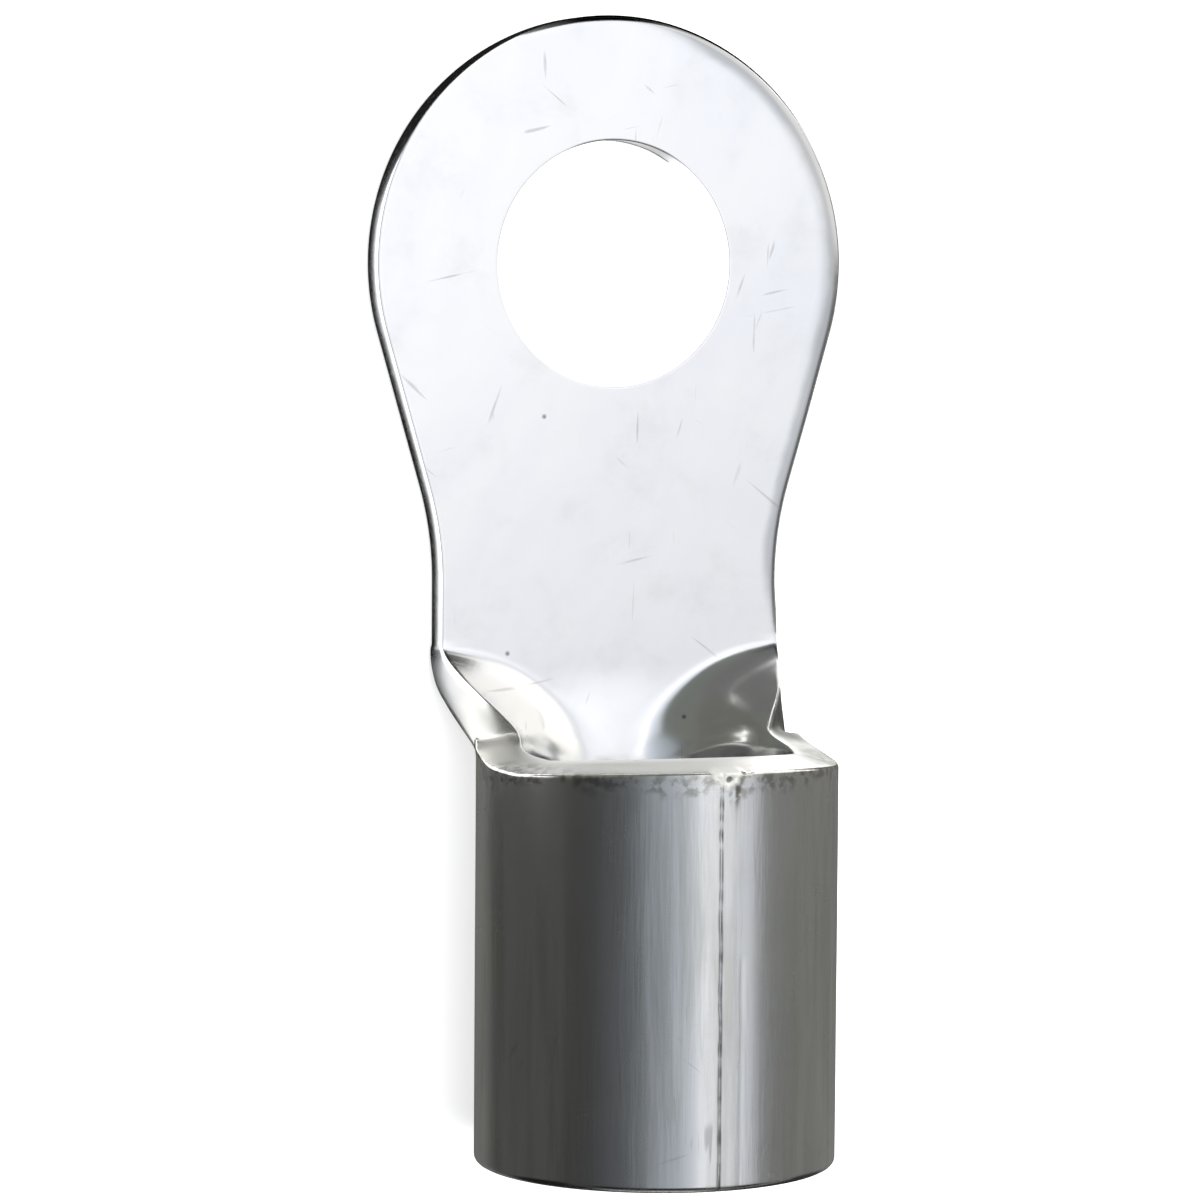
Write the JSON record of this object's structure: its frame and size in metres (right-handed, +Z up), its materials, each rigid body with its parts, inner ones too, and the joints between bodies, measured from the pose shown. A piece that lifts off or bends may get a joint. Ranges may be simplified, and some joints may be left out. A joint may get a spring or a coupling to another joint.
{
  "type": "ring terminal",
  "caption": "Tin-plated copper ring terminal: a flat ring tongue that scoops up into a rolled, brazed barrel for a heavy cable.",
  "frame": {"origin": "centre of the stud hole on the contact face (the underside of the ring tongue)", "axes": "+Z up the stud, out of the face the bolt head or nut bears on; +Y toward the tip of the ring; the barrel runs toward -Y with its seam on top"},
  "size_m": [0.022, 0.0504, 0.0159],
  "materials": {
    "tinned_copper": "bright tin plating over copper sheet, lightly scratched and pitted"
  },
  "bodies": {
    "root": {"ring_terminal": "tinned_copper"}
  },
  "joints": []
}
